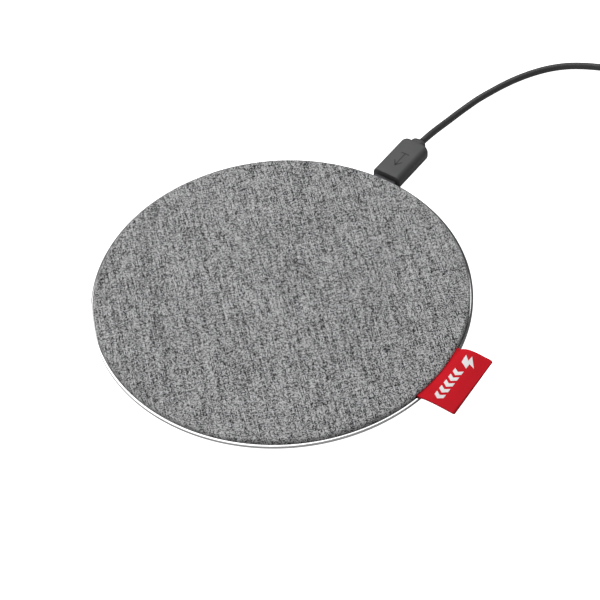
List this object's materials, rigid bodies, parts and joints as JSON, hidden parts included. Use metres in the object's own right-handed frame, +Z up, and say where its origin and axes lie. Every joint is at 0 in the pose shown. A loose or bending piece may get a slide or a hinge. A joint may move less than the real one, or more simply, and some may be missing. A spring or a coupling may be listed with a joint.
{
  "type": "wireless charging pad",
  "caption": "Round flat wireless charging pad with a woven fabric top, thin metal trim ring, side label tab and a plug-in micro-USB lead wound into a coil.",
  "frame": {"origin": "centre of the underside of the anti-slip disc, on the surface that the pad stands on", "axes": "+Z up through the charging face, +X out through the label tab, +Y the way the micro-USB plug pulls out"},
  "size_m": [0.1487, 0.2061, 0.0092],
  "materials": {
    "fabric": "grey melange plain weave",
    "trim_metal": "polished",
    "housing": "fine moulded texture",
    "silicone": "soft matt",
    "inner_plastic": "as moulded",
    "label": "red satin-woven ribbon with a printed white mark",
    "ferrite": "sintered",
    "copper_wire": "enamelled litz",
    "chip": "moulded epoxy",
    "circuit_board": "solder mask",
    "capacitor": "fired",
    "connector_steel": "nickel plated",
    "screw_steel": "zinc plated",
    "contact_plastic": "moulded",
    "plug_moulding": "dark grey soft-touch moulding",
    "cable_jacket": "smooth jacket",
    "tie_strap": "hook-and-loop strap",
    "usb_a_plastic": "moulded",
    "contact_gold": "gold plated"
  },
  "bodies": {
    "pad": {"fabric_cover": "fabric", "trim_ring": "trim_metal", "base_shell": "housing", "antislip_disc": "silicone", "top_plate": "inner_plastic", "label_root": "label", "coil_tray": "inner_plastic", "ferrite_sheet": "ferrite", "coil_winding": "copper_wire", "thermistor": "chip", "main_board": "circuit_board", "controller_ic": "chip", "bridge_mosfet_1": "chip", "bridge_mosfet_2": "chip", "resonant_capacitor_1": "capacitor", "resonant_capacitor_2": "capacitor", "resonant_capacitor_3": "capacitor", "power_inductor": "ferrite", "crystal": "connector_steel", "port_shell": "connector_steel", "port_tongue": "contact_plastic", "case_screw_1": "screw_steel", "case_screw_2": "screw_steel", "case_screw_3": "screw_steel", "case_screw_4": "screw_steel", "board_screw_1": "screw_steel", "board_screw_2": "screw_steel"},
    "label": {"label_tab": "label"},
    "lead": {"plug_shell": "connector_steel", "plug_contact_block": "contact_plastic", "plug_overmould": "plug_moulding", "plug_strain_relief": "plug_moulding", "cable_run": "cable_jacket", "cable_tail": "cable_jacket", "cable_coil": "cable_jacket", "coil_tie": "tie_strap", "usb_a_strain_relief": "plug_moulding", "usb_a_overmould": "plug_moulding", "usb_a_shell": "connector_steel", "usb_a_insert": "usb_a_plastic", "usb_a_contact_1": "contact_gold", "usb_a_contact_2": "contact_gold", "usb_a_contact_3": "contact_gold", "usb_a_contact_4": "contact_gold"}
  },
  "joints": [
    {"name": "plug_pull", "type": "slide", "parent": "pad", "child": "lead", "axis": [0, 1, 0], "range_m": [0, 0.012]},
    {"name": "label_flex", "type": "hinge", "parent": "pad", "child": "label", "pos_m": [0.05525, 0, 0.0071], "axis": [0, -1, 0], "range_deg": [-25, 75], "stiffness_Nm_per_rad": 0.004}
  ]
}
